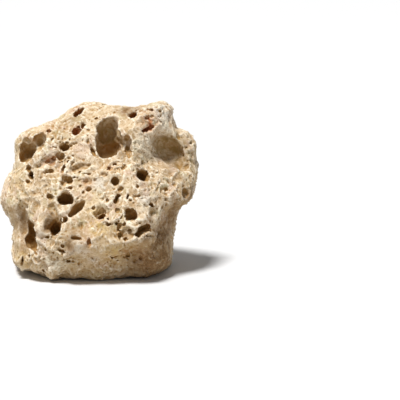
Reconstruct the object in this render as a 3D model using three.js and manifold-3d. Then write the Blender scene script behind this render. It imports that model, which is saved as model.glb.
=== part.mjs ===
// Holey limestone: one weathered lump, riddled with bored and dissolved pits.
// Millimetres, +Z up. The front faces -Y; the origin is on the ground, under the middle of the stone.
import * as THREE from 'three';
import { mergeVertices } from 'three/addons/utils/BufferGeometryUtils.js';
import { ImprovedNoise } from 'three/addons/math/ImprovedNoise.js';
import Module from 'manifold-3d';

const wasm = await Module();
wasm.setup();
const { Manifold, Mesh } = wasm;

// The front is measured as it is seen by an eye a metre off, to the right and a little above. Its
// picture plane leans with the eye and runs through the middle of the stone.
const EYE_RISE = THREE.MathUtils.degToRad(10);
const EYE_DISTANCE = 1000;
const EYE_SIDE = 81;
const EYE_LEVEL = 65;
const MIDDLE_HEIGHT = 56;
const HEART_HEIGHT = 70.5;

// How far the stone bulges towards the eye and away from it, how boxy its section is (2 is round), how
// softly its facets meet, and how squarely a facet has to be faced before it bounds the stone.
const FRONT_BULGE = 60;
const BACK_BULGE = 64;
const BOXINESS = 3;
const FACET_BLEND = 2.5;
const FACET_FACING = 0.3;

// Swells fade in from the outline to here, and the grain on the outline is this share of the front's.
const FRONT_FADE = 0.4;
const RIM_CALM = 0.35;

// Fineness of the meshes: the lump, and the cutters of small, middling and large pits.
const LUMP_DETAIL = 10;
const SMALL_PIT = 8;
const LARGE_PIT = 24;
const WELD = 1e-4;

// A pit's cutter is this lumpy, with lumps this many to its radius. A bore of the front leans this much
// along the line of sight, and for the rest straight into the skin.
const PIT_LUMPS = 0.22;
const PIT_LUMP_COUNT = 1.3;
const SIGHT_SHARE = 0.6;

// The ground that levels the underside, and how deep towards its middle a hollow there is widest.
const GROUND_SIDE = 400;
const GROUND_DEPTH = 100;
const UNDER_SAUCER = -0.5;

// Steps with which the skin is felt for: along the line of sight in millimetres, and round the heart.
const SIGHT_STEP = 0.5;
const SIGHT_MARGIN = 20;
const TURN_STEP = 0.03;
const NO_TURN = 0.01;

const right = new THREE.Vector3(1, 0, 0);
const up = new THREE.Vector3(0, Math.sin(EYE_RISE), Math.cos(EYE_RISE));
const near = new THREE.Vector3(0, -Math.cos(EYE_RISE), Math.sin(EYE_RISE));
const noise = new ImprovedNoise();

// A point of the stone from where the eye sees it (x, height) and how far it stands towards the eye.
function place(x, height, towards) {
  const shrink = 1 - towards / EYE_DISTANCE;
  const point = new THREE.Vector3(0, 0, MIDDLE_HEIGHT);
  point.addScaledVector(right, EYE_SIDE + (x - EYE_SIDE) * shrink);
  point.addScaledVector(up, (height - EYE_LEVEL) * shrink);
  point.addScaledVector(near, towards);
  return point;
}

const eye = place(EYE_SIDE, EYE_LEVEL, EYE_DISTANCE);

// Outline of the front in its picture plane: x and height.
const OUTLINE = [
  [-79.5, 64.5], [-78.5, 73.5], [-73.5, 83.5], [-67.5, 90.5], [-65.5, 100], [-66, 113.5], [-62, 117],
  [-58, 119], [-48.5, 123.5], [-40.5, 126.5], [-34, 129], [-28, 133], [-23, 136], [-18.5, 140],
  [-13.5, 141.5], [-5.5, 142], [3, 141], [11, 140], [16, 139.5], [29, 139], [37.5, 139], [43, 141],
  [50, 143], [58, 141.5], [61, 134.5], [58, 124.5], [62.5, 121], [71, 118.5], [76, 112.5], [78, 100],
  [79, 90.5], [76.5, 78.5], [74.5, 68.5], [71.5, 64], [67, 63], [63.5, 59], [61.5, 50], [59, 40],
  [58, 29.5], [57.5, 16.5], [54, 11], [45.5, 4], [33, -4], [14, -8], [-2, -7.5], [-18, -5], [-29, -1],
  [-40, -1], [-43, 4], [-47, 7.5], [-58.5, 7.5], [-65, 11], [-68.5, 18.5], [-69, 27.5], [-68.5, 40],
  [-70.5, 49], [-74.5, 54], [-78.5, 60.5],
];

// Broad faces the stone broke along: direction to the right, up and towards the eye, and distance out.
const FACETS = [
  [-0.1, 0.2, 1, 49],
  [-0.62, 0.05, 0.78, 64],
  [0.08, -0.59, 0.81, 71],
  [-0.15, 0.72, 0.69, 62],
  [0.6, 0.25, 0.76, 62],
  [-0.5, 0.3, -0.81, 61],
  [0.68, 0.1, -0.72, 62],
  [0.15, 0.8, -0.58, 64],
  [-0.2, -0.3, -0.93, 60],
  [0, -0.985, -0.174, 62.8],
];

// Swells and dips of the front: x, height, reach and how far out.
const SWELLS = [
  [42, 133, 14, 5],
  [-40, 112, 16, 3],
  [-5, 95, 16, 2],
  [-46, 45, 8, 5],
  [-34, 28, 14, 3],
  [5, 31, 17, 4.5],
  [-22, 29, 10, 3],
  [33, 39, 10, 3],
  [-41, 6, 8, 4],
  [43, 97, 15, -6],
  [-62, 42, 12, -5],
  [58, 48, 14, -4],
  [8, 112, 20, -4],
  [25, 128, 8, -2],
];

// Grain of the surface: size of the lumps, how far they stand out, and a shift that tells them apart.
const GRAIN = [
  [46, 5.5, 11.3],
  [19, 3, 37.9],
  [9, 1.2, 71.2],
];

const rim = OUTLINE.map(([x, height]) => ({
  turn: Math.atan2(height - HEART_HEIGHT, x),
  reach: Math.hypot(x, height - HEART_HEIGHT),
})).sort((a, b) => a.turn - b.turn);

function outlineReach(turn) {
  let next = rim.findIndex((point) => point.turn >= turn);
  if (next < 0) next = 0;
  const before = rim[(next + rim.length - 1) % rim.length];
  const after = rim[next];
  const full = 2 * Math.PI;
  const span = (after.turn - before.turn + full) % full;
  const along = (turn - before.turn + full) % full;
  return THREE.MathUtils.lerp(before.reach, after.reach, along / span);
}

function softLess(a, b, blend) {
  const low = Math.min(a, b);
  return low - blend * Math.log(Math.exp((low - a) / blend) + Math.exp((low - b) / blend));
}

// The skin before any pit is cut: its distance from the heart of the stone in a direction given by how
// much it leads to the right, up and towards the eye.
function skinDistance(dx, dUp, dNear) {
  const aside = Math.hypot(dx, dUp) / outlineReach(Math.atan2(dUp, dx));
  const deep = Math.abs(dNear) / (dNear > 0 ? FRONT_BULGE : BACK_BULGE);
  let reach = Math.pow(Math.pow(aside, BOXINESS) + Math.pow(deep, BOXINESS), -1 / BOXINESS);
  for (const [fx, fUp, fNear, out] of FACETS) {
    const facing = (dx * fx + dUp * fUp + dNear * fNear) / Math.hypot(fx, fUp, fNear);
    if (facing > FACET_FACING) reach = softLess(reach, out / facing, FACET_BLEND);
  }
  const front = THREE.MathUtils.smoothstep(dNear, 0, FRONT_FADE);
  for (const [x, height, wide, out] of SWELLS) {
    const apart = Math.hypot(dx * reach - x, dUp * reach + HEART_HEIGHT - height) / wide;
    reach += front * out * Math.exp(-apart * apart);
  }
  const calm = THREE.MathUtils.lerp(RIM_CALM, 1, Math.abs(dNear));
  for (const [size, out, shift] of GRAIN) {
    const scale = reach / size;
    reach += calm * out * noise.noise(dx * scale + shift, dUp * scale - shift, dNear * scale + 2 * shift);
  }
  return reach;
}

function skinPoint(dx, dUp, dNear) {
  const reach = skinDistance(dx, dUp, dNear);
  return place(dx * reach, HEART_HEIGHT + dUp * reach, dNear * reach);
}

// The way straight out of the skin, from two neighbouring directions.
function skinNormal(dx, dUp, dNear) {
  const way = new THREE.Vector3(dx, dUp, dNear);
  const first = new THREE.Vector3(-dUp, dx, NO_TURN).normalize();
  const second = new THREE.Vector3().crossVectors(way, first).normalize();
  const around = [];
  for (const side of [first, second]) {
    const ahead = way.clone().addScaledVector(side, TURN_STEP).normalize();
    const behind = way.clone().addScaledVector(side, -TURN_STEP).normalize();
    around.push(skinPoint(ahead.x, ahead.y, ahead.z).sub(skinPoint(behind.x, behind.y, behind.z)));
  }
  const out = new THREE.Vector3().crossVectors(around[0], around[1]).normalize();
  const outward = skinPoint(dx, dUp, dNear).sub(place(0, HEART_HEIGHT, 0));
  return out.dot(outward) < 0 ? out.negate() : out;
}

// The direction from the heart to where the eye first meets the skin at this spot, or nearly does.
function seenDirection(x, height) {
  let closest = Infinity;
  let found = null;
  for (let towards = FRONT_BULGE + SIGHT_MARGIN; towards > -BACK_BULGE; towards -= SIGHT_STEP) {
    const way = new THREE.Vector3(x, height - HEART_HEIGHT, towards);
    const distance = way.length();
    way.divideScalar(distance);
    const gap = distance - skinDistance(way.x, way.y, way.z);
    if (gap < closest) {
      closest = gap;
      found = way;
    }
    if (gap <= 0) break;
  }
  return found;
}

// The pits of the front: x and height of the mouth, its width and tallness, its turn in degrees, the
// depth, and how far below the mouth the bore is widest (less than 0: a saucer; more: undercut).
const FRONT_PITS = [
  // the great hollow, with its dish, chute, crescent and slit
  [8, 110.5, 21.5, 25, 0, 22, 0.2],
  [6, 124, 14.5, 14, 0, 14, 0.1, 0, -0.45],
  [21.5, 108, 10, 18, 8, 10, 0],
  [-4, 104.5, 2.5, 9, 29, 5, 0.1],
  // the scoop on the right
  [57, 105, 36, 24, -50, 14, -0.3],
  // the double window on the left
  [-57, 104, 12.5, 20, -14, 14, 0.2],
  [-47, 109.5, 9, 15.5, -24, 11, 0.1],
  // the brow and the upper left
  [-16.5, 135.5, 11.5, 6, 38, 9, 0.2],
  [-18, 120.5, 7.5, 7, 0, 7, 0.1],
  [-13, 125, 3.5, 8, 0, 8, 0.1],
  [-27, 107, 8, 5.5, 5, 9, 0.2],
  [-31, 100.5, 6.5, 7, -25, 6, 0.1],
  [-40, 96.5, 10, 9, 0, 5, -0.2],
  [-28.5, 90.5, 3, 7, 0, 5, 0],
  [-55, 84.5, 6, 6, 0, 12, 0.3],
  [-25.5, 81, 9.5, 8.5, 20, 7, 0.1],
  [-13.5, 92.5, 16, 5, 22, 4.5, 0],
  // the middle and the right
  [35.5, 85, 11, 9, 0, 16, 0.35],
  [12.5, 80, 5, 6, 0, 8, 0.2],
  [14.5, 66, 4, 8.5, -38, 7, 0.1],
  [26.5, 51.5, 9, 9, 0, 12, 0.1, -0.4, 0.5],
  [1.5, 55.5, 10.5, 14.5, 0, 4, -0.5],
  [23, 38.5, 9, 10.5, 0, 3.5, -0.3],
  [36, 41.5, 13.5, 7, 38, 13, 0.3],
  [46.5, 55.5, 13.5, 7, 5, 3.5, -0.4],
  [70.5, 70, 7, 10.5, 10, 6, 0],
  // the knob at the top right
  [27, 133.5, 7, 8, 0, 12, 0.3],
  [39.5, 122, 11.5, 4, 24, 7, 0.1],
  [39, 128, 13, 9, 10, 3.5, -0.3],
  // the lower left, with its long groove and trough
  [-27, 66, 12.5, 9.5, 0, 15, 0.3],
  [-17.5, 57.5, 7.5, 16, -42, 8, 0.1],
  [-35, 43.5, 10.5, 12.5, 0, 18, 0.3],
  [-37, 50, 13.5, 22.5, -10, 5, -0.5],
  [-52, 34.5, 7, 25.5, 12, 16, 0.3],
  [-59.5, 44.5, 14.5, 32, 5, 6, -0.6],
  [-17.5, 34.5, 7.5, 3, 0, 5, 0.1],
  [-30, 24, 8.5, 3.5, -3, 6, 0.1],
  [-63, 25, 9.5, 14.5, 0, 3, -0.5],
  [-23.5, 16.5, 15, 9, 10, 4.5, -0.4],
];

// The sides and the back that the eye does not see: pits of every size strewn evenly about. Each pair is
// the least and the most of a value drawn by chance; lengths are shares of the pit's width.
const HIDDEN_SPREAD = 71;
const HIDDEN_SIZES = [6, 8, 12, 6, 18, 8, 6, 26, 9, 7, 14];
const HIDDEN_DRIFT = [0, 0.6];
const HIDDEN_LIFT = [0, 0.1];
const HIDDEN_WIDE = [0.85, 1.15];
const HIDDEN_TALL = [0.7, 1.4];
const HIDDEN_DEEP = [0.45, 1.15];
const HIDDEN_UNDERCUT = [-0.2, 0.3];
const HIDDEN_LEAN = [-0.25, 0.25];
const HIDDEN_SEEN = 0.12;
const HIDDEN_LOWEST = 10;
const HALF_TURN = [0, 180];
const GOLDEN_TURN = Math.PI * (3 - Math.sqrt(5));

// Chance that runs the same way each time.
const CHANCE_SPAN = 2 ** 32;
const CHANCE_STEP = 1664525;
const CHANCE_SHIFT = 1013904223;
let seed = 90817;

function between([least, most]) {
  seed = (seed * CHANCE_STEP + CHANCE_SHIFT) % CHANCE_SPAN;
  return THREE.MathUtils.lerp(least, most, seed / CHANCE_SPAN);
}

// The underside is hollowed between the few level lands the stone stands on: x, y, width, length, turn
// in degrees and height of each hollow.
const UNDER_HOLLOWS = [
  [4, -2, 64, 36, 12, 9],
  [-32, 12, 30, 20, -30, 6],
  [22, 28, 28, 14, -20, 4],
  [-14, 30, 20, 9, 10, 3],
  [44, 6, 12, 20, 0, 2.5],
];

// The closed mesh of a round or boxy shape, its doubled corners made one.
function welded(geometry) {
  geometry.deleteAttribute('normal');
  geometry.deleteAttribute('uv');
  return mergeVertices(geometry, WELD);
}

function toSolid(geometry) {
  const vertProperties = new Float32Array(geometry.getAttribute('position').array);
  const triVerts = new Uint32Array(geometry.getIndex().array);
  return new Manifold(new Mesh({ numProp: 3, vertProperties, triVerts }));
}

// A pit's cutter: a lumpy egg, sunk along its bore. The frame is the mouth's width, tallness and bore.
function pitCutter(seat, into, across, [wide, tall, turn, depth, widest]) {
  const bore = into.clone().normalize();
  const side = across.clone().addScaledVector(bore, -across.dot(bore)).normalize();
  const over = new THREE.Vector3().crossVectors(side, bore);
  const spin = THREE.MathUtils.degToRad(turn);
  const along = side.clone().multiplyScalar(Math.cos(spin)).addScaledVector(over, Math.sin(spin));
  const cross = over.clone().multiplyScalar(Math.cos(spin)).addScaledVector(side, -Math.sin(spin));
  const flare = Math.sqrt(1 - widest * widest);
  const length = depth / (1 + widest);
  const size = Math.max(wide, tall);
  const detail = size < SMALL_PIT ? 0 : size < LARGE_PIT ? 1 : 2;
  const egg = welded(new THREE.IcosahedronGeometry(1, detail));
  const shell = egg.getAttribute('position');
  const centre = seat.clone().addScaledVector(bore, widest * length);
  for (let i = 0; i < shell.count; i += 1) {
    const at = new THREE.Vector3().fromBufferAttribute(shell, i);
    const spot = at.clone().multiplyScalar(PIT_LUMP_COUNT).add(seat);
    const swell = 1 + PIT_LUMPS * noise.noise(spot.x, spot.y, spot.z);
    const point = centre.clone();
    point.addScaledVector(along, (at.x * swell * wide) / 2 / flare);
    point.addScaledVector(cross, (at.y * swell * tall) / 2 / flare);
    point.addScaledVector(bore, -at.z * swell * length);
    shell.setXYZ(i, point.x, point.y, point.z);
  }
  return toSolid(egg);
}

// The lump itself, cut off level where it would sink into the ground.
const lump = welded(new THREE.IcosahedronGeometry(1, LUMP_DETAIL));
const skin = lump.getAttribute('position');
for (let i = 0; i < skin.count; i += 1) {
  const way = new THREE.Vector3().fromBufferAttribute(skin, i).normalize();
  const point = skinPoint(way.x, way.z, -way.y);
  skin.setXYZ(i, point.x, point.y, point.z);
}
let stone = toSolid(lump);

const ground = new THREE.BoxGeometry(GROUND_SIDE, GROUND_SIDE, GROUND_DEPTH);
ground.translate(0, 0, -GROUND_DEPTH / 2);
stone = stone.subtract(toSolid(welded(ground)));

for (const [x, height, wide, tall, turn, depth, widest, leanX = 0, leanUp = 0] of FRONT_PITS) {
  const way = seenDirection(x, height);
  const seat = skinPoint(way.x, way.y, way.z);
  const into = seat.clone().sub(eye).normalize().multiplyScalar(SIGHT_SHARE);
  into.addScaledVector(skinNormal(way.x, way.y, way.z), SIGHT_SHARE - 1);
  into.addScaledVector(right, leanX).addScaledVector(up, leanUp);
  stone = stone.subtract(pitCutter(seat, into, right, [wide, tall, turn, depth, widest]));
}

for (let i = 0; i < HIDDEN_SPREAD; i += 1) {
  const z = 1 - (2 * i + 1) / HIDDEN_SPREAD;
  const flat = Math.sqrt(1 - z * z);
  const turn = i * GOLDEN_TURN + between(HIDDEN_DRIFT);
  const way = new THREE.Vector3(flat * Math.cos(turn), z + between(HIDDEN_LIFT), flat * Math.sin(turn));
  way.normalize();
  const wide = HIDDEN_SIZES[i % HIDDEN_SIZES.length] * between(HIDDEN_WIDE);
  const tall = wide * between(HIDDEN_TALL);
  const spin = between(HALF_TURN);
  const depth = wide * between(HIDDEN_DEEP);
  const widest = between(HIDDEN_UNDERCUT);
  const seat = skinPoint(way.x, way.y, way.z);
  const out = skinNormal(way.x, way.y, way.z);
  const seen = out.dot(eye.clone().sub(seat).normalize());
  if (seen > HIDDEN_SEEN || seat.z < HIDDEN_LOWEST) continue;
  const into = out.multiplyScalar(-1);
  into.x += between(HIDDEN_LEAN);
  into.z += between(HIDDEN_LEAN);
  const across = new THREE.Vector3().crossVectors(into, new THREE.Vector3(0, 0, 1));
  stone = stone.subtract(pitCutter(seat, into, across, [wide, tall, spin, depth, widest]));
}

for (const [x, y, wide, tall, turn, depth] of UNDER_HOLLOWS) {
  const seat = new THREE.Vector3(x, y, 0);
  const into = new THREE.Vector3(0, 0, 1);
  stone = stone.subtract(pitCutter(seat, into, right, [wide, tall, turn, depth, UNDER_SAUCER]));
}

// Back to a geometry, with hard edges for the facets.
function toGeometry(solid) {
  const mesh = solid.getMesh();
  const geometry = new THREE.BufferGeometry();
  geometry.setAttribute('position', new THREE.BufferAttribute(new Float32Array(mesh.vertProperties), 3));
  geometry.setIndex(new THREE.BufferAttribute(new Uint32Array(mesh.triVerts), 1));
  geometry.computeVertexNormals();
  return geometry;
}

const limestone = new THREE.MeshStandardMaterial({ color: 0xd8c8a4, roughness: 0.95, metalness: 0 });
const rock = new THREE.Mesh(toGeometry(stone), limestone);
rock.name = 'rock';
rock.geometry.computeBoundingBox();
const middle = rock.geometry.boundingBox.getCenter(new THREE.Vector3());
rock.geometry.translate(-middle.x, -middle.y, 0);

const part = new THREE.Group();
part.name = 'holey_rock';
part.add(rock);

export default part;
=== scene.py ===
import math
import random

import bmesh
import bpy
import numpy as np
from mathutils import Matrix, Vector, noise
from mathutils.bvhtree import BVHTree


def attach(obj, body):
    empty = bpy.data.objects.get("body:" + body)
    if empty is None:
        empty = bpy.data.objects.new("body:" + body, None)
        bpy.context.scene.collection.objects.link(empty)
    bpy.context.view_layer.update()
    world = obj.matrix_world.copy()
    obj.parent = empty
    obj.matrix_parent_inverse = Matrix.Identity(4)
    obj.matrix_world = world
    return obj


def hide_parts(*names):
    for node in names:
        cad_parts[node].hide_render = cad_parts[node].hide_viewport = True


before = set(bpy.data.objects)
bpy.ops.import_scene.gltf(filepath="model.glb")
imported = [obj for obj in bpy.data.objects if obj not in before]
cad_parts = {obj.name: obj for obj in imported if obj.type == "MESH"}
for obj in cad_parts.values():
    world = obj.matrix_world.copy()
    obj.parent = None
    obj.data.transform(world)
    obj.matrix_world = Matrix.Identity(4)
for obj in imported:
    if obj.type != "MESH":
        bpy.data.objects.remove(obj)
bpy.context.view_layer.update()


# The stone: one lump of pale limestone, laid down as lime mud and shell sand on a sea floor.
# Piddocks, date mussels and worms bored the round holes in it. Rain and waves then dissolved its
# skin into scoops, sharp crests and thousands of small pits, and stained it ochre and rust.

# Lengths of the stone are in millimetres until it is finished.
MM = 0.001
NOISE_SEED = 23
noise.seed_set(NOISE_SEED)

# The eye sees the front from a metre off, to the right and a little above. Places on the front
# are given as it sees them: x and height in a plane that leans with it through the stone.
EYE_RISE = math.radians(10)
EYE_DISTANCE = 1000
EYE_SIDE = 81
EYE_LEVEL = 65
PICTURE_MIDDLE = Vector((0.85, -1.93, 56))
to_right = Vector((1, 0, 0))
to_top = Vector((0, math.sin(EYE_RISE), math.cos(EYE_RISE)))
to_eye = Vector((0, -math.cos(EYE_RISE), math.sin(EYE_RISE)))
eye = PICTURE_MIDDLE + to_right * EYE_SIDE + to_eye * EYE_DISTANCE


def line_of_sight(x, height):
    spot = PICTURE_MIDDLE + to_right * x + to_top * (height - EYE_LEVEL)
    return (spot - eye).normalized()


def apply_modifiers(piece):
    shaped = piece.evaluated_get(bpy.context.evaluated_depsgraph_get())
    mesh = bpy.data.meshes.new_from_object(shaped)
    piece.modifiers.clear()
    piece.data = mesh


def new_piece(name, shape):
    mesh = bpy.data.meshes.new(name)
    shape.to_mesh(mesh)
    piece = bpy.data.objects.new(name, mesh)
    bpy.context.scene.collection.objects.link(piece)
    return piece


def remesh(piece, cell):
    fill = piece.modifiers.new("even mesh", "REMESH")
    fill.mode = "VOXEL"
    fill.voxel_size = cell
    fill.use_smooth_shade = True
    apply_modifiers(piece)


WEAR_SHARE = 0.5


def smooth(piece, times, part=""):
    wear = piece.modifiers.new("wear", "SMOOTH")
    wear.factor = WEAR_SHARE
    wear.iterations = times
    wear.vertex_group = part
    apply_modifiers(piece)


# The lump starts as the measured solid, with its hard facets worn round.
LUMP_CELL = 1.0
LUMP_WEAR = 9
SAME_POINT = 0.001

lump = bmesh.new()
lump.from_mesh(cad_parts["rock"].data)
bmesh.ops.scale(lump, vec=(1 / MM, 1 / MM, 1 / MM), verts=lump.verts)
bmesh.ops.remove_doubles(lump, verts=lump.verts, dist=SAME_POINT)
solid_tree = BVHTree.FromBMesh(lump)
stone = new_piece("weathered_stone", lump)
remesh(stone, LUMP_CELL)
smooth(stone, LUMP_WEAR)


def points_of(mesh):
    flat = np.empty(3 * len(mesh.vertices))
    mesh.vertices.foreach_get("co", flat)
    return flat.reshape(-1, 3)


def nearness(points, spot, reach):
    away = points - np.array(spot)
    return np.exp(-(away * away).sum(axis=1) / (reach * reach))


def spots_on_front(rows):
    spots = []
    for x, height, *rest in rows:
        spot, out, _, _ = solid_tree.ray_cast(eye, line_of_sight(x, height))
        if spot is not None:
            spots.append((spot, out, *rest))
    return spots


# The least share of wear that counts.
LEAST_WEAR = 0.05


# Wears away what stands out around some places of the front.
def melt(piece, rows, times):
    points = points_of(piece.data)
    amounts = np.zeros(len(points))
    for spot, _, reach in spots_on_front(rows):
        amounts = np.maximum(amounts, nearness(points, spot, reach))
    worn_part = piece.vertex_groups.new(name="worn")
    for index in np.nonzero(amounts > LEAST_WEAR)[0]:
        worn_part.add([int(index)], float(amounts[index]), "REPLACE")
    smooth(piece, times, worn_part.name)
    piece.vertex_groups.clear()


# The lower left side of the scoop runs out into the front without an edge: x, height and reach.
RUN_OUTS = [(41, 107, 8), (46, 99, 9), (52, 92, 10), (60, 87, 9), (67, 88, 7)]
RUN_OUT_WEAR = 160
melt(stone, RUN_OUTS, RUN_OUT_WEAR)

# Bores and pits of the front: x and height of the mouth, its width and tallness, its turn in
# degrees, the depth, how far down it is widest (below 0: a saucer; above: undercut), and how
# much the bore leans up and to the right.
BORES = [
    # the great hollow, with its dish, crescent and slit
    (7.2, 109.5, 19.5, 20.5, 0, 26, 0.3, -0.3), (7.6, 107.5, 20, 18, 0, 8, -0.1),
    (7, 119.5, 16.5, 21, -5, 15, 0, -0.35),
    (23.2, 108.5, 7.5, 19, 8, 10, 0), (-5.5, 105, 3, 11, 29, 6, 0.1),
    # the scoop on the right, deepest under its brow
    (56, 105.5, 30, 17.5, -40, 11, 0, 0.3, 0.12), (65, 94, 16, 11, -50, 4.5, -0.3),
    # the double window on the left
    (-57.5, 103, 17, 12, 45, 13, 0.15), (-60.3, 99.5, 7.5, 9, 0, 7, 0), (-60, 106.5, 7.5, 9, 0, 7, 0),
    (-48.5, 112, 15, 10.5, 45, 9, 0),
    # the brow and the upper left
    (-16.5, 135.5, 12, 6, 38, 9, 0.2), (-18, 120.5, 7.5, 7, 0, 7, 0.1),
    (-13, 125, 3.5, 8, 0, 8, 0.1), (-27, 107, 8, 5.5, 5, 9, 0.2), (-31, 100.5, 6.5, 7, -25, 6, 0.1),
    (-40, 96.5, 10, 9, 0, 5, -0.2), (-28.5, 90.5, 3, 7, 0, 5, 0), (-55, 84.5, 6, 6, 0, 12, 0.3),
    (-25.5, 81, 9.5, 8.5, 20, 7, 0.1), (-13.5, 92.5, 16, 4.5, 22, 4.5, 0),
    # the middle and the right
    (35.5, 85, 11, 9, 0, 16, 0.35), (12.5, 80, 5, 6, 0, 8, 0.2), (14.5, 66, 4, 8.5, -38, 7, 0.1),
    (26.5, 51.5, 9, 9, 0, 12, 0.1), (23, 38.5, 9, 10.5, 0, 3.5, -0.3),
    (36, 41.5, 13.5, 6.5, 38, 13, 0.3), (46.5, 55.5, 12, 6, 5, 3.5, -0.4),
    (70.5, 70, 7, 10.5, 10, 6, 0),
    # the knob at the top right
    (27, 133.5, 7, 8, 0, 12, 0.3), (24, 136, 15, 9, -10, 2.5, -0.4), (39.5, 123, 11, 4, 24, 6, 0.1),
    # the lower left
    (-27, 66, 12.5, 9.5, 0, 11.5, 0.25), (-17.5, 57.5, 7.5, 16, -42, 8, 0.1),
    (-35, 43.5, 10.5, 12.5, 0, 14, 0.3), (-38, 45.5, 9, 13, 0, 2.2, -0.5), (-17.5, 34.5, 7.5, 3, 0, 5, 0.1),
    (-30, 24, 8.5, 3.5, -3, 6, 0.1),
    # the notches between the lobes that the stone stands on
    (-43.5, 6, 4, 9, 20, 7, 0), (-60.5, 16, 3, 8, -10, 5, 0),
]
# A row that leaves out its last numbers is widest a tenth of the way down and doesn't lean.
USUAL_BORE = [0.1, 0, 0]
# The cleft at the left runs from the floor of its groove in behind the rib beside it.
CLEFT = [(-53.3, 37, 8.5, 28, 14, 16, 0), (-53.5, 31, 8.5, 17, 22, 13, 0)]
CLEFT_SLANT = Vector((0.2, 0, 0))
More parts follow.
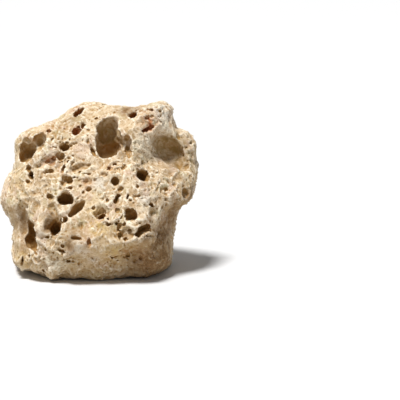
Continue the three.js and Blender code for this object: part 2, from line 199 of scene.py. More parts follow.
# The small pits of the front, one by one, are given as its bores are.
SMALL_PITS = [
    # the brow and the upper left
    (-39, 120.5, 4, 3.5, 0, 4.5), (-38, 124.5, 6.5, 4, 0, 2), (-28, 128.5, 8, 3, 40, 3.5),
    (-27, 123.5, 4, 1.5, 40, 2), (-29.5, 122.5, 5.5, 1.5, 0, 2), (-41, 127, 5.5, 3, 25, 3),
    (-58, 112.5, 8, 5, 10, 3), (-56, 117, 3.5, 3.5, 0, 3), (-37, 99, 4, 4, 0, 5.5),
    (-39.5, 91.5, 2.5, 3, 0, 2.5), (-56, 90.5, 6, 9, 0, 3), (-58, 80, 5, 4.5, 0, 4.5),
    (-40.5, 87, 8, 5, 25, 3), (-50, 91.5, 2.5, 5, 35, 2.5), (-23.5, 75, 6.5, 3, 0, 3),
    (-24.5, 72.5, 4, 1.5, 0, 2), (-10.5, 86.5, 7, 2.5, 0, 3), (-10, 80, 8, 5.5, 0, 2.5),
    (-9, 111.5, 2.5, 5, 0, 3), (-13, 113, 2, 3, 0, 2), (-23, 114.5, 2.5, 2.5, 0, 2),
    (-18, 110.5, 2, 2, 0, 2), (-38.5, 110, 2, 2, 0, 2), (-34, 107.5, 2.5, 3, 0, 2),
    (-5, 129, 2.5, 2.5, 0, 2), (-1, 130.5, 2.5, 2.5, 0, 2), (9, 134.5, 2, 2, 0, 2),
    (12.5, 128.5, 4.5, 7, 0, 2.5), (0, 139.5, 7, 2, -20, 2), (-35, 117, 3, 2.5, 0, 2),
    (-32.5, 114.5, 2.5, 2.5, 0, 2), (-29, 116.5, 2.5, 2, 0, 2), (-32.5, 118.5, 2, 2, 0, 1.5),
    (-64.5, 86, 1.5, 1.5, 0, 2), (-67, 82.5, 1.5, 1.5, 0, 2), (-71, 74.5, 3, 3, 0, 2.5),
    (-75, 60.5, 3, 2, 0, 2), (-69, 48.5, 3, 1.5, 0, 2), (-61, 60, 2, 2.5, 0, 2),
    (-45, 79.5, 1.5, 3, 0, 2), (-34.5, 72.5, 2, 2, 0, 2),
    # the middle and the right
    (34, 95, 3, 5, 15, 4.5), (39, 95.5, 3, 2.5, 0, 2.5), (20.5, 90.5, 5, 5, 0, 4.5),
    (8.5, 90.5, 5, 5, 30, 4), (3, 86.5, 8, 5, -20, 2.5), (16.5, 74.5, 7, 5, -15, 2.5),
    (23, 68.5, 2.5, 6, -20, 5.5), (29.5, 68, 7, 3.5, 10, 2), (32.5, 69, 2, 2, 0, 2),
    (7.5, 64.5, 3, 3, 0, 3), (43, 61.5, 4, 3.5, 0, 7), (39, 60, 6.5, 3, 5, 2),
    (15, 57, 2.5, 3, 0, 2.5), (18.5, 52.5, 2.5, 3, 0, 2.5), (19, 58.5, 1.5, 1.5, 0, 2),
    (2, 51.5, 5, 5, 0, 9), (7, 45.5, 4, 4, 0, 4.5), (15.5, 43.5, 2.5, 5.5, -18, 4),
    (14.5, 39, 1.5, 4, 0, 2.5), (13, 46.5, 2, 2, 0, 2), (21, 46, 3, 4, 0, 3.5),
    (18.5, 43.5, 1.5, 2.5, 0, 2), (25, 40.5, 3, 3, 0, 3.5), (22.5, 34.5, 3.5, 3, 0, 3),
    (39, 36, 3, 3, 0, 3.5), (32, 35.5, 2.5, 1.5, 0, 2), (41, 33, 1.5, 1.5, 0, 2),
    (52.5, 31, 2.5, 2.5, 0, 2), (50, 34.5, 2.5, 2.5, 0, 2), (55.5, 31.5, 1.5, 1.5, 0, 2),
    (43.5, 28.5, 2.5, 2.5, 0, 2), (21, 23, 7, 7, 0, 2.5), (23.5, 18.5, 3, 5.5, 10, 4.5),
    (24, 14.5, 3, 3, 0, 3.5), (18, 24.5, 2, 2, 0, 2), (73, 90.5, 5, 9.5, 0, 2),
    (74.5, 102.5, 2.5, 2.5, 0, 2), (70, 106.5, 3, 3, 0, 2), (64, 116, 4, 5.5, 15, 3),
    (64.5, 119.5, 2.5, 2.5, 0, 2), (47.5, 103.5, 3, 3, 0, 3), (58, 128.5, 4.5, 3, 0, 2),
    (57, 135, 1.5, 1.5, 0, 1.5),
    # the knob at the top right
    (23, 138, 12, 4.5, 0, 2.5), (43, 124, 4, 3, 0, 5.5), (39, 138, 3, 3, 0, 3),
    (31, 138, 2.5, 2.5, 0, 2), (31.5, 130.5, 2.5, 2.5, 0, 2), (49.5, 136, 4, 2.5, -10, 2.5),
    (48, 132, 4, 2, 10, 2.5), (43, 132, 5, 3, 15, 3), (39, 130.5, 5, 3.5, 0, 3),
    (47, 139.5, 4, 3, 30, 2),
    # the lower left
    (-41, 35.5, 3, 3, 0, 3), (-36, 35.5, 3, 2.5, 0, 3.5), (-37, 30.5, 4, 8, 0, 2),
    (-39.5, 67.5, 5, 4, 0, 4.5), (-28.5, 28, 3, 2.5, 0, 4.5), (-42.5, 25, 3, 3, 0, 3),
    (-26, 49.5, 4.5, 4, 0, 5.5), (-14, 44.5, 4, 7, 0, 2), (-14.5, 42.5, 1.5, 1.5, 0, 2),
    (-7.5, 32, 3, 7, 15, 2.5), (-55, 15, 3, 5, -15, 3), (-48.5, 16.5, 5.5, 3.5, 0, 2),
    (-61, 14.5, 2.5, 3, 0, 2), (-60.5, 19.5, 5, 4, 0, 2), (-39, 58.5, 7, 6.5, 0, 2),
]
# Porous patches of the front: x and height, how far they spread each way, and how many pores.
POROUS = [
    (-30, 120, 16, 8, 28), (-32.5, 115.5, 5, 5, 10), (-3, 135, 12, 5, 14), (41, 134, 15, 8, 46),
    (71, 105, 4, 16, 26), (63.5, 119, 6, 5, 10), (9, 88, 22, 7, 26), (-19, 105, 12, 10, 22),
    (-63, 72, 12, 14, 28), (21, 46, 13, 15, 56), (33, 66, 14, 8, 26), (49, 38, 11, 19, 44),
    (21, 19, 26, 9, 30), (-55, 15, 13, 5, 14), (-31, 22, 10, 8, 14), (-43, 93, 14, 12, 24),
    (53, 73, 14, 12, 30), (-10, 73, 12, 10, 16), (-25, 92, 9, 10, 14), (-18, 15, 14, 5, 26),
    (10, 13, 14, 5, 26), (38, 12, 10, 6, 22), (-5, 122, 8, 8, 14), (15, 136, 12, 4, 12),
]
# A pore's width, and its tallness and depth as shares of that. Most pores are small.
PORE_WIDTHS = (1.5, 3.3)
PORE_TALLNESS = (0.7, 1.5)
PORE_DEPTHS = (0.6, 1.4)
PORE_SMALLNESS = 2
PORE_SPREAD = 0.6
PORE_SEED = 377
# How much of a bore's way in follows the line of sight. The rest goes straight into the skin.
SIGHT_SHARE = 0.6
# How lumpy a bore's wall is, as a share of the bore's size and in millimetres at most, and how many
# lumps there are across it.
PIT_LUMPS = 0.16
MOST_LUMPS = 1.5
LUMPS_ACROSS = 2.2
# How finely the eggs that cut the bores, the pits and the pores are made.
BORE_FINENESS = 3
PIT_FINENESS = 2
PORE_FINENESS = 1
HALF_TURN = 180


def between(limits, share):
    least, most = limits
    return least + (most - least) * share


# The skin around a mouth is felt this far out, as a share of its width, and in this many places.
RIM_SHARE = 0.62
RIM_STEPS = 12


# Where a mouth lies on the stone: the skin around its rim gives its place and the way out. A third
# of the rim may lie nearer than the seat, or more of it where the seat is the floor of a groove.
def seat_of(x, height, wide, tall, nearer=1 / 3):
    reaches = []
    out = Vector()
    for step in range(RIM_STEPS):
        around = step * math.tau / RIM_STEPS
        beside = RIM_SHARE * wide * math.cos(around)
        above = RIM_SHARE * tall * math.sin(around)
        sight = line_of_sight(x + beside, height + above)
        spot, normal, _, distance = solid_tree.ray_cast(eye, sight)
        if spot is not None:
            reaches.append(distance)
            out += normal
    if not reaches:
        return None, None
    reaches.sort()
    return eye + line_of_sight(x, height) * reaches[int(len(reaches) * nearer)], out.normalized()


# Each bore is an egg, sunk along its axis and made a little lumpy. Bores that run into each other go
# into separate layers, which are joined before they cut.
def sink(layers, seat, into, across, wide, tall, turn, depth, widest, fineness):
    bore = into.normalized()
    side = (across - bore * across.dot(bore)).normalized()
    over = side.cross(bore)
    spin = math.radians(turn)
    along = side * math.cos(spin) + over * math.sin(spin)
    cross = over * math.cos(spin) - side * math.sin(spin)
    flare = math.sqrt(1 - widest * widest)
    length = depth / (1 + widest)
    centre = seat + bore * widest * length
    turned = Matrix((along * wide / 2 / flare, cross * tall / 2 / flare, -bore * length)).transposed()
    reach = max(wide / 2 / flare, tall / 2 / flare, length) * (1 + PIT_LUMPS)
    for layer, balls in layers:
        if all((centre - other).length > reach + other_reach for other, other_reach in balls):
            break
    else:
        layer, balls = bmesh.new(), []
        layers.append((layer, balls))
    balls.append((centre, reach))
    egg = bmesh.ops.create_icosphere(
        layer, subdivisions=fineness, radius=1, matrix=Matrix.Translation(centre) @ turned.to_4x4()
    )
    size = max(wide, tall)
    lumps = min(PIT_LUMPS, MOST_LUMPS / size)
    for point in egg["verts"]:
        away = point.co - centre
        point.co = centre + away * (1 + lumps * noise.noise(point.co * (LUMPS_ACROSS / size) + seat))


def front_bores(layers, rows, fineness):
    for x, height, wide, tall, turn, depth, *rest in rows:
        seat, out = seat_of(x, height, wide, tall)
        if seat is None:
            continue
        sight = (seat - eye).normalized()
        widest, lean, aside = list(rest) + USUAL_BORE[len(rest):]
        into = sight * SIGHT_SHARE - out * (1 - SIGHT_SHARE) + to_top * lean + to_right * aside
        sink(layers, seat, into, to_right, wide, tall, turn, depth, widest, fineness)


def cleft_bores(layers):
    for x, height, wide, tall, turn, depth, widest in CLEFT:
        seat, _ = seat_of(x, height, wide, tall, nearer=2 / 3)
        into = (seat - eye).normalized() + CLEFT_SLANT
        sink(layers, seat, into, to_right, wide, tall, turn, depth, widest, BORE_FINENESS)


def porous_bores(layers):
    strew = random.Random(PORE_SEED)
    rows = []
    for x, height, reach, rise, count in POROUS:
        for _ in range(count):
            wide = between(PORE_WIDTHS, strew.random() ** PORE_SMALLNESS)
            tall = wide * between(PORE_TALLNESS, strew.random())
            depth = wide * between(PORE_DEPTHS, strew.random())
            pore_x = x + reach * strew.gauss(0, PORE_SPREAD)
            pore_height = height + rise * strew.gauss(0, PORE_SPREAD)
            rows.append((pore_x, pore_height, wide, tall, HALF_TURN * strew.random(), depth))
    front_bores(layers, rows, PORE_FINENESS)


# The sides, the back and the top's rear, which the eye doesn't see, are as pitted as the front. The
# ways out from the heart of the stone are chosen by chance, and places that face the eye are left out.
HIDDEN_TRIES = 420
HIDDEN_SEED = 4611
HIDDEN_WIDTHS = (1.8, 6.3)
HIDDEN_TALLNESS = (0.7, 1.4)
HIDDEN_DEPTHS = (0.5, 1.3)
HIDDEN_SMALLNESS = 2.2
HIDDEN_STEEPNESS = 1.2
FACES_EYE = 0.2
HEART = Vector((0, 0, 66))
WELL_OUTSIDE = 200


def hidden_bores(layers):
    strew = random.Random(HIDDEN_SEED)
    for _ in range(HIDDEN_TRIES):
        way = Vector((strew.gauss(0, 1), strew.gauss(0, 1), strew.gauss(0, 1))).normalized()
        wide = between(HIDDEN_WIDTHS, strew.random() ** HIDDEN_SMALLNESS)
        tall = wide * between(HIDDEN_TALLNESS, strew.random())
        spin = HALF_TURN * strew.random()
        depth = wide * between(HIDDEN_DEPTHS, strew.random())
        lean = Vector((strew.random() - 0.5, strew.random() - 0.5, strew.random() - 0.5))
        seat, out, _, _ = solid_tree.ray_cast(HEART + way * WELL_OUTSIDE, -way)
        if seat is None or out.dot((eye - seat).normalized()) > FACES_EYE:
            continue
        into = lean - out * HIDDEN_STEEPNESS
        across = way.orthogonal()
        sink(layers, seat, into, across, wide, tall, spin, depth, USUAL_BORE[0], PIT_FINENESS)


def combine(piece, other, operation):
    meeting = piece.modifiers.new("bores", "BOOLEAN")
    meeting.operation = operation
    meeting.solver = "MANIFOLD"
    meeting.object = other
    apply_modifiers(piece)
    bpy.data.objects.remove(other)


bore_layers = []
front_bores(bore_layers, BORES, BORE_FINENESS)
cleft_bores(bore_layers)
front_bores(bore_layers, SMALL_PITS, PIT_FINENESS)
porous_bores(bore_layers)
hidden_bores(bore_layers)
borers = new_piece("borers", bore_layers[0][0])
for layer, _ in bore_layers[1:]:
    combine(borers, new_piece("more_borers", layer), "UNION")
combine(stone, borers, "DIFFERENCE")

# Weathering: the bored lump is meshed evenly again, bent by slow noise, and its skin dissolved
# into crests and dimples of several sizes.
SKIN_CELL = 0.62
SKIN_WEAR = 2


# Crumbs that the bores cut loose fall off.
def drop_crumbs(piece):
    shape = bmesh.new()
    shape.from_mesh(piece.data)
    unseen = set(shape.verts)
    parts = []
    while unseen:
        growing = [unseen.pop()]
        part = list(growing)
        while growing:
            point = growing.pop()
            for edge in point.link_edges:
                other = edge.other_vert(point)
                if other in unseen:
                    unseen.discard(other)
                    growing.append(other)
                    part.append(other)
        parts.append(part)
    parts.sort(key=len)
    bmesh.ops.delete(shape, geom=[point for part in parts[:-1] for point in part], context="VERTS")
    shape.to_mesh(piece.data)
    shape.free()


remesh(stone, SKIN_CELL)
drop_crumbs(stone)
smooth(stone, SKIN_WEAR)

# Edges that wore round after the boring, of the scoop and the great hollow: x, height and reach.
LIPS = [
    (42, 106, 8), (45, 112, 7), (47.5, 98, 8), (56, 92, 8), (65, 91, 7), (16, 119, 4), (14, 129, 5),
    (0, 126, 4), (17, 103, 3),
]
LIP_WEAR = 220
melt(stone, LIPS, LIP_WEAR)

# The skin's slow bends, as size and reach, and its crests, as size, reach and a shift that keeps
# the sizes apart. The crests are turned, so that none runs along a side of the noise's own cells.
WARPS = [(14, 1.1), (6, 0.6)]
CRESTS = [(13, 1.8, 3.1), (6, 1.3, 8.7), (2.6, 0.85, 21.3)]
CREST_TURN = Matrix.Rotation(0.7, 3, "X") @ Matrix.Rotation(0.5, 3, "Y") @ Matrix.Rotation(0.9, 3, "Z")
CREST_BEND = 0.9
CREST_BENDS_ACROSS = 0.45
CREST_LEVEL = 0.62
# The dimples lie scattered. Each has a reach of its own, as a share of the distance between them.
DIMPLE_SPREAD = 4.2
DIMPLE_DEPTH = 1.3
DIMPLE_REACHES = (0.12, 0.42)
DIMPLE_CHANCE = 7.31


def crest(place, size, shift):
    where = CREST_TURN @ place / size
    bend = noise.noise_vector(where * CREST_BENDS_ACROSS) * CREST_BEND
    where += bend + Vector((shift, -shift, 2 * shift))
    return (1 - abs(noise.noise(where))) ** 2 - CREST_LEVEL


def dimple(place):
    distances, centres = noise.voronoi(place / DIMPLE_SPREAD)
    reach = between(DIMPLE_REACHES, noise.cell(centres[0] * DIMPLE_CHANCE))
    return -max(0.0, 1 - (distances[0] / reach) ** 2) * reach / DIMPLE_REACHES[1]


# Strokes of the front that the measured solid is too coarse for: x, height, reach and how far out.
STROKES = [
    (-36, 33, 7, 1.5), (-14, 29, 8, 2), (3, 28, 8, 2.5), (22, 31, 8, 2.5), (35, 40, 6, 2),
    (-30, 12, 9, -2), (-10, 12, 11, -3), (8, 10, 12, -3.5), (26, 12, 12, -3.5), (42, 24, 11, -3),
    (50, 40, 9, -2.5), (58, 55, 8, -2), (-25, 20, 6, 1.5), (-5, 18, 6, -1.5), (12, 20, 6, 1.5),
    (29, 17, 6, -1.5), (44, 14, 5, 1.5), (-47.5, 46, 5, 2.5), (-46, 36, 4.5, 2), (-62, 40, 8, -2),
    (-46, 41, 4.5, 2), (-53, 13, 6, 2.5), (-43.5, 13, 3.5, -2.5), (-36, 8, 6, 2.5), (-64, 16, 5, 1.5),
    (75, 104, 6, 1.5), (74, 88, 6, 1.5), (44, 96, 9, -1.5), (30, 100, 8, 1.5), (-8, 96, 9, 1.5),
    (48, 118, 6, 1.2),
]
# Parts of the front that are worn smooth: x, height and reach.
SMOOTH_PARTS = [
    (46, 103, 10), (53, 96, 10), (58, 106, 9), (-62, 47, 9), (-63, 33, 8), (-44, 43, 5), (7, 110, 13),
    (-51, 107, 8), (-3, 102, 5), (-17, 58, 5),
]
# Some patches of the skin are rougher than others, and the worn parts are nearly calm.
PATCH_SIZE = 27
PATCH_SHIFT = Vector((5, 5, 5))
PATCH_CONTRAST = 1.6
PATCH_ROUGHNESS = (0.75, 1.25)
CALMING = 0.75
# A foot stays clear of the table apart from a few rough points: the height that counts as a foot,
# its gap, and its lumps as size and reach.
FOOT_HEIGHT = 0.9
FOOT_GAP = 0.45
FOOT_LUMPS = [(5, 0.45), (1.7, 0.2)]

skin = stone.data
points = points_of(skin)
shifted = points.copy()
for spot, out, reach, push in spots_on_front(STROKES):
    shifted += push * nearness(points, spot, reach)[:, None] * np.array(out)
calm = np.zeros(len(points))
for spot, _, reach in spots_on_front(SMOOTH_PARTS):
    calm = np.maximum(calm, nearness(points, spot, reach) ** 0.5)

for vertex, start, stillness in zip(skin.vertices, shifted, calm):
    here = vertex.co.copy()
    place = Vector(start)
    normal = vertex.normal
    for size, reach in WARPS:
        place += noise.noise_vector(here / size) * reach
    patch = min(1, max(0, 0.5 + PATCH_CONTRAST * noise.noise(here / PATCH_SIZE + PATCH_SHIFT)))
    rough = (1 - CALMING * stillness) * between(PATCH_ROUGHNESS, patch)
    lift = DIMPLE_DEPTH * dimple(here)
    for size, reach, shift in CRESTS:
        lift += rough * reach * crest(here, size, shift)
    place += normal * lift
    if place.z < FOOT_HEIGHT:
        lowest = FOOT_GAP
        for size, reach in FOOT_LUMPS:
            lowest += reach * noise.noise(here / size)
        place.z = max(place.z, lowest, 0)
    shifted[vertex.index] = place
skin.vertices.foreach_set("co", shifted.ravel())
skin.update()

MOST_TRIANGLES = 196000
thin = stone.modifiers.new("thin", "DECIMATE")
skin.calc_loop_triangles()
thin.ratio = min(1, MOST_TRIANGLES / len(skin.loop_triangles))
apply_modifiers(stone)

# How hidden each point is from the sky around it. The colour darkens with it, partly as dirt and dark
# stains, partly as painted shade in the pits and hollows.
HOLLOW_REACH = 26
HOLLOW_RAYS = 14
OFF_THE_SKIN = 0.15
skin = stone.data
shape = bmesh.new()
shape.from_mesh(skin)
skin_tree = BVHTree.FromBMesh(shape)
shape.free()
rays = []
for step in range(HOLLOW_RAYS):
    rise = 1 - (step + 0.5) / HOLLOW_RAYS
    turn = step * math.pi * (3 - math.sqrt(5))
    flat = math.sqrt(1 - rise * rise)
    rays.append(Vector((flat * math.cos(turn), flat * math.sin(turn), rise)))
hollow = []
for vertex in skin.vertices:
    normal = vertex.normal
    turned = normal.to_track_quat("Z", "X")
    start = vertex.co + normal * OFF_THE_SKIN
    shut = 0
    weight = 0
    for ray in rays:
        weight += ray.z
        _, _, _, distance = skin_tree.ray_cast(start, turned @ ray, HOLLOW_REACH)
        if distance is not None:
            shut += ray.z * (1 - distance / HOLLOW_REACH) ** 0.5
    hollow.append(shut / weight)

# Stains and painted light: x and height of the middle, reach, and strength.
STAINS_AND_PAINTED_LIGHT = {
    "ochre": [
        (-2, 53, 6, 0.9), (1, 44, 6, 0.8), (-6, 68, 7, 0.45), (12, 24, 9, 0.35), (-60, 20, 9, 0.5),
        (-66, 78, 8, 0.35), (9, 89, 5, 0.4),
    ],
    "rust": [
        (-18, 120, 5, 0.9), (-16, 135, 5, 0.6), (40, 128, 8, 0.8), (37, 122, 6, 0.8), (29, 133, 6, 0.6),
        (8.5, 90.5, 4, 0.6), (37, 19, 6, 0.6), (-10, 80, 5, 0.6), (-40, 97, 6, 0.7), (41, 47, 4, 0.5),
        (-8, 32, 5, 0.5), (22, 22, 5, 0.5), (31, 21, 6, 0.5), (40, 12, 6, 0.5), (-40, 122, 5, 0.5),
        (-58, 113, 5, 0.4), (56, 17, 8, 0.3),
    ],
    "olive": [
        (50, 111, 8, 0.5), (61, 105, 10, 0.9), (58, 110, 7, 0.6), (65, 95, 7, 0.6), (5, 118, 9, 0.8),
        (7, 110, 11, 0.9), (-54, 104, 9, 0.7), (-24, 17, 9, 0.6), (-33, 117, 6, 0.5), (23, 21, 9, 0.3),
        (30, 24, 10, 0.4), (0, 34, 9, 0.3),
    ],
    # Ash: pale patches, partly painted light over places the lamp leaves in shade, such as the knob, and a
    # painted highlight along the crest of the brow.
    "ash": [
        (47, 118, 6, 0.8), (38, 112, 6, 0.6), (52, 134, 9, 1), (0.5, 78, 7, 0.8), (38, 65, 6, 0.7),
        (-40, 104, 5, 0.6), (-3, 62, 8, 0.4), (-46, 30, 5, 0.6), (60, 138, 6, 0.4), (-38, 12, 6, 0.6),
        (-15, 24, 7, 0.5), (-3, 16, 5, 0.5),
    ],
    # Chalk: pale patches, partly painted light that lifts the shade left of the scoop and on the foot at
    # the lower left.
    "chalk": [
        (41, 102, 5, 1), (55, 124, 7, 0.9), (34, 110, 6, 0.8), (-38, 16, 6, 0.8), (-48, 10, 5, 0.7),
        (-29, 10, 6, 0.7), (-60, 10, 6, 0.9), (41, 118, 5, 0.6),
    ],
    # Brown: partly brown stains, partly painted shade over the lower right corner and foot, in the cleft,
    # and in the funnels and hollows.
    "brown": [
        (27, 134, 6, 0.7), (18, 103, 4, 0.9), (38, 34, 6, 0.7), (-24, 26, 6, 0.7), (-43, 39, 5, 0.7),
        (-21, 129, 6, 0.5), (-43, 52, 5, 0.6), (60, 91, 6, 0.6), (3, 47, 5, 0.4), (60, 20, 9, 0.7),
        (53, 30, 14, 1), (59, 50, 11, 1), (24, 137, 8, 1), (-23, 36, 9, 0.7), (-40, 45, 5, 0.8),
        (52, 12, 13, 1), (34, 4, 15, 1), (34, 18, 13, 0.8), (60, 58, 8, 0.6), (5, 1, 15, 0.4),
        (-62, 26, 8, 0.4), (72, 68, 7, 0.9), (48, 34, 9, 0.5), (52, 44, 7, 0.6), (-60, 46, 10, 0.5),
        (22, 37, 7, 0.4), (7, 103, 11, 0.6), (23, 107, 7, 0.4), (-52, 30, 9, 1), (60, 109, 6, 0.5),
        (66, 98, 9, 0.5), (-36, 43, 7, 0.5), (-62, 46, 8, 0.35),
    ],
}
# Relief is how far a point stands out from the skin once that is worn soft this many times.
RELIEF_WEAR = 10


def write_values(name, values):
    layer = skin.attributes.new(name, "FLOAT", "POINT")
    layer.data.foreach_set("value", values)


points = points_of(skin)
write_values("hollow", hollow)
worn = new_piece("worn_copy", bmesh.new())
worn.data = stone.data.copy()
smooth(worn, RELIEF_WEAR)
relief = []
under = []
for vertex, soft in zip(skin.vertices, worn.data.vertices):
    relief.append((vertex.co - soft.co).dot(soft.normal))
    under.append(max(0, -soft.normal.z))
bpy.data.objects.remove(worn)
write_values("relief", relief)
write_values("under", under)
for tint_name, rows in STAINS_AND_PAINTED_LIGHT.items():
    amounts = np.zeros(len(points))
    for spot, _, reach, strength in spots_on_front(rows):
        amounts += strength * nearness(points, spot, reach)
    write_values(tint_name, np.minimum(1, amounts))

skin.transform(Matrix.Scale(MM, 4))
skin.polygons.foreach_set("use_smooth", [True] * len(skin.polygons))


# Limestone: chalky cream where it is worn, tan and brown in the pits, stained in patches, with painted
# highlights on the crests and painted shade in the pits, the hollows and on what faces down. A colour is
# given as a screen shows it.
def srgb(red, green, blue):
    def linear(value):
        value /= 255
        return value / 12.92 if value <= 0.04045 else ((value + 0.055) / 1.055) ** 2.4
    return (linear(red), linear(green), linear(blue), 1)


CREAM = srgb(212, 192, 163)
TAN = srgb(180, 152, 116)
STRAW = srgb(208, 186, 146)
PINK = srgb(204, 176, 160)
MOSS = srgb(188, 182, 142)
# Earth on the foot, also used as painted shade low down and under what faces down.
EARTH_AND_SHADE = srgb(176, 146, 100)
# The pale of worn crests, also used as their painted highlight.
WORN_AND_HIGHLIGHT = srgb(237, 225, 203)
PIT_BROWN = srgb(156, 118, 64)
GRAIN_BROWN = srgb(158, 128, 90)
DEEP = srgb(128, 90, 46)
RUSTY_PIT = srgb(158, 92, 54)
# The tints of the stains; brown also paints shade, and ash and chalk also paint light.
STAIN_AND_LIGHT_COLOURS = {
    "ash": srgb(222, 218, 206), "olive": srgb(142, 116, 58), "ochre": srgb(214, 178, 98),
    "rust": srgb(170, 110, 66), "brown": srgb(120, 90, 56), "chalk": srgb(240, 228, 202),
}


class Recipe:
    def __init__(self, name):
        self.material = bpy.data.materials.new(name)
        self.material.use_nodes = True
        self.tree = self.material.node_tree
        self.tree.nodes.clear()

    def add(self, kind, inputs=(), **settings):
        node = self.tree.nodes.new(kind)
        for key, value in settings.items():
            setattr(node, key, value)
        for socket, value in dict(inputs).items():
            self.feed(node.inputs[socket], value)
        return node

    def feed(self, socket, value):
        if isinstance(value, bpy.types.NodeSocket):
            self.tree.links.new(value, socket)
        else:
            socket.default_value = value

    def noise(self, where, size, detail=4, rough=0.55, bend=0):
        inputs = {"Vector": where, "Scale": 1 / (size * MM), "Detail": detail, "Roughness": rough}
        inputs["Distortion"] = bend
        return self.add("ShaderNodeTexNoise", inputs).outputs["Fac"]

    def cells(self, where, size):
        inputs = {"Vector": where, "Scale": 1 / (size * MM), "Randomness": 1}
        return self.add("ShaderNodeTexVoronoi", inputs).outputs["Distance"]

    def ramp(self, value, low, high, bottom=0, top=1):
        inputs = {"Value": value, "From Min": low, "From Max": high, "To Min": bottom, "To Max": top}
        return self.add("ShaderNodeMapRange", inputs, interpolation_type="SMOOTHSTEP").outputs["Result"]

    def reckon(self, kind, first, second):
        return self.add("ShaderNodeMath", {0: first, 1: second}, operation=kind).outputs[0]

    def mix(self, share, first, second):
        made = self.add("ShaderNodeMix", data_type="RGBA")
        self.feed(made.inputs[0], share)
        self.feed(made.inputs[6], first)
        self.feed(made.inputs[7], second)
        return made.outputs[2]

    def value_of(self, name):
        return self.add("ShaderNodeAttribute", attribute_name=name).outputs["Fac"]


lime = Recipe("limestone")
where = lime.add("ShaderNodeTexCoord").outputs["Object"]
clouds = lime.noise(where, size=38, detail=3)
patches = lime.noise(where, size=9, detail=5, rough=0.6, bend=0.4)
grain = lime.noise(where, size=1.6, detail=3, rough=0.7)
fine = lime.noise(where, size=0.7, detail=2, rough=0.6)
hollow_value = lime.value_of("hollow")
relief_value = lime.value_of("relief")
under_value = lime.value_of("under")

# The bare stone: cream and tan, with straw, pinkish and mossy clouds.
colour = lime.mix(lime.ramp(patches, 0.38, 0.66), CREAM, TAN)
straw = lime.reckon("MULTIPLY", lime.ramp(clouds, 0.45, 0.7), 0.35)
colour = lime.mix(straw, colour, STRAW)
pinkish = lime.noise(where, size=17, rough=0.6, bend=0.3)
colour = lime.mix(lime.ramp(pinkish, 0.5, 0.66, top=0.5), colour, PINK)
mossy = lime.noise(where, size=13, rough=0.65, bend=0.6)
colour = lime.mix(lime.ramp(mossy, 0.52, 0.68, top=0.5), colour, MOSS)

# Earth clings to the foot, up to a ragged height, and to what faces down. The same tint paints shade on the
# foot near the table and under what faces down.
above_ground = lime.add("ShaderNodeSeparateXYZ", {"Vector": where}).outputs["Z"]
uneven = lime.reckon("SUBTRACT", patches, 0.5)
foot = lime.reckon("ADD", above_ground, lime.reckon("MULTIPLY", uneven, 50 * MM))
colour = lime.mix(lime.ramp(foot, 2 * MM, 44 * MM, bottom=0.35, top=0), colour, EARTH_AND_SHADE)
earth_and_shade = lime.noise(where, size=11, rough=0.65, bend=0.5)
earth_and_shade = lime.ramp(earth_and_shade, 0.35, 0.6, bottom=0.3)
earth_and_shade = lime.reckon("MULTIPLY", earth_and_shade, lime.ramp(under_value, 0.02, 0.55, top=0.7))
colour = lime.mix(earth_and_shade, colour, EARTH_AND_SHADE)

# Crests are worn pale and carry a painted highlight, most of all where they face up, where rain and light
# fall on them; dips are brown, partly with painted shade.
washed_and_lit = lime.ramp(under_value, 0, 0.45, bottom=0.9, top=0.4)
pale = lime.reckon("MULTIPLY", lime.ramp(relief_value, 0.04, 0.5), washed_and_lit)
colour = lime.mix(pale, colour, WORN_AND_HIGHLIGHT)
colour = lime.mix(lime.ramp(relief_value, -0.02, -0.5, top=0.85), colour, PIT_BROWN)

# The stains and the painted light are broken up, the brown ones only by half.
for tint_name, tint in STAIN_AND_LIGHT_COLOURS.items():
    least = 0.5 if tint_name == "brown" else 0
    broken = lime.noise(where, size=5.5, rough=0.65, bend=0.6)
    broken = lime.ramp(broken, 0.34, 0.62, bottom=least)
    share = lime.reckon("MULTIPLY", lime.value_of(tint_name), broken)
    colour = lime.mix(share, colour, tint)

# Grain, dark specks in some patches, dirt and painted shade in the hollows, and rust deep in the stained
# ones.
colour = lime.mix(lime.ramp(grain, 0.36, 0.5, bottom=0.6, top=0), colour, GRAIN_BROWN)
speck = lime.ramp(lime.cells(where, size=3.1), 0.13, 0.24, bottom=1, top=0)
speckled = lime.ramp(lime.noise(where, size=14, detail=3, rough=0.6), 0.38, 0.52)
speck = lime.reckon("MULTIPLY", speck, speckled)
colour = lime.mix(lime.reckon("MULTIPLY", speck, 0.75), colour, DEEP)
# Painted shade: the more hidden a point is from the sky, the browner and darker it is painted, partly as
# dirt, partly as shade.
dirt_and_shade = lime.reckon("ADD", hollow_value, lime.reckon("MULTIPLY", uneven, 0.3))
colour = lime.mix(lime.ramp(dirt_and_shade, 0.3, 0.72), colour, PIT_BROWN)
colour = lime.mix(lime.ramp(hollow_value, 0.7, 0.97), colour, DEEP)
rusty = lime.ramp(hollow_value, 0.22, 0.6, bottom=0.05, top=0.9)
rusty = lime.reckon("MULTIPLY", lime.value_of("rust"), rusty)
colour = lime.mix(rusty, colour, RUSTY_PIT)

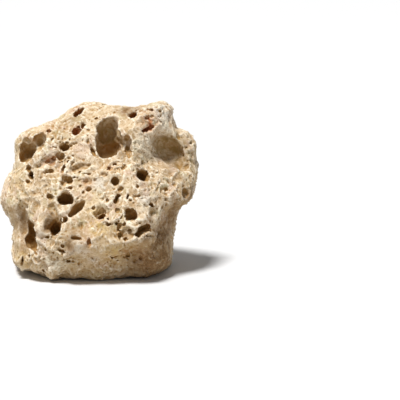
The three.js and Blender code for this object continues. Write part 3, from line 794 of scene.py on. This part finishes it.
# The crust feels like coarse sandpaper, with pinprick pores in some patches.
pore = lime.ramp(lime.cells(where, size=2.3), 0.1, 0.3)
pore_free = lime.ramp(lime.noise(where, size=7, detail=2, rough=0.5), 0.5, 0.42)
pore = lime.reckon("MAXIMUM", pore, pore_free)
crust = lime.reckon("ADD", lime.reckon("MULTIPLY", grain, 0.8), lime.reckon("MULTIPLY", fine, 0.35))
crust = lime.reckon("ADD", crust, lime.reckon("MULTIPLY", pore, 0.35))
bump = lime.add("ShaderNodeBump", {"Strength": 0.75, "Distance": 0.55 * MM, "Height": crust})
chalky = lime.add("ShaderNodeBsdfPrincipled", {"Base Color": colour, "Normal": bump.outputs["Normal"]})
chalky.inputs["Roughness"].default_value = 0.93
chalky.inputs["Specular IOR Level"].default_value = 0.25
lime.add("ShaderNodeOutputMaterial", {"Surface": chalky.outputs["BSDF"]})
skin.materials.clear()
skin.materials.append(lime.material)

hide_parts("rock")
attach(stone, "root")


# The table: a sheet of matt white board, which the stone stands on. It is a single flat sheet, in
# metres, far wider than the view, so that no edge of it shows.
TABLE_SIZE = 60
TABLE_WHITE = (0.7, 0.7, 0.7, 1)
TABLE_ROUGHNESS = 0.6

sheet_shape = bmesh.new()
bmesh.ops.create_grid(sheet_shape, x_segments=1, y_segments=1, size=TABLE_SIZE / 2)
table = new_piece("white_table", sheet_shape)
paper = Recipe("white_sheet")
paper_shader = paper.add("ShaderNodeBsdfPrincipled")
paper_shader.inputs["Base Color"].default_value = TABLE_WHITE
paper_shader.inputs["Roughness"].default_value = TABLE_ROUGHNESS
paper.add("ShaderNodeOutputMaterial", {"Surface": paper_shader.outputs["BSDF"]})
table.data.materials.append(paper.material)


# The light: a broad soft box overhead, a little to the left and in front, in a white studio. Its
# width is in degrees. The walls look pure white, and throw a weaker light into the shadows.
LIGHT_STRENGTH = 4.5
LIGHT_WIDTH = 14
LIGHT_WAY = Vector((0.22, 0.28, -0.94))
WALL_LOOK = 1
WALL_LIGHT = 0.26

overhead = bpy.data.lights.new("overhead_light", "SUN")
overhead.energy = LIGHT_STRENGTH
overhead.angle = math.radians(LIGHT_WIDTH)
overhead_lamp = bpy.data.objects.new("overhead_light", overhead)
overhead_lamp.rotation_euler = LIGHT_WAY.to_track_quat("-Z", "Y").to_euler()
bpy.context.scene.collection.objects.link(overhead_lamp)
studio = bpy.data.worlds.new("white_studio")
studio.use_nodes = True
glow = studio.node_tree.nodes["Background"]
glow.inputs["Color"].default_value = (1, 1, 1, 1)
path = studio.node_tree.nodes.new("ShaderNodeLightPath")
strength = studio.node_tree.nodes.new("ShaderNodeMapRange")
strength.inputs["To Min"].default_value = WALL_LIGHT
strength.inputs["To Max"].default_value = WALL_LOOK
studio.node_tree.links.new(path.outputs["Is Camera Ray"], strength.inputs["Value"])
studio.node_tree.links.new(strength.outputs["Result"], glow.inputs["Strength"])
bpy.context.scene.world = studio
bpy.context.scene.view_settings.view_transform = "Standard"


# The camera: stands where the eye is, a metre off and a little to the right, and looks slightly
# down. Its lens and the width of its picture are in millimetres.
LENS = 112.5
PICTURE_WIDTH = 36

camera = bpy.data.objects.new("camera", bpy.data.cameras.new("camera"))
camera.data.sensor_width = PICTURE_WIDTH
camera.data.lens = LENS
camera.location = eye * MM
camera.rotation_euler = (math.pi / 2 - EYE_RISE, 0, 0)
bpy.context.scene.collection.objects.link(camera)
bpy.context.scene.camera = camera
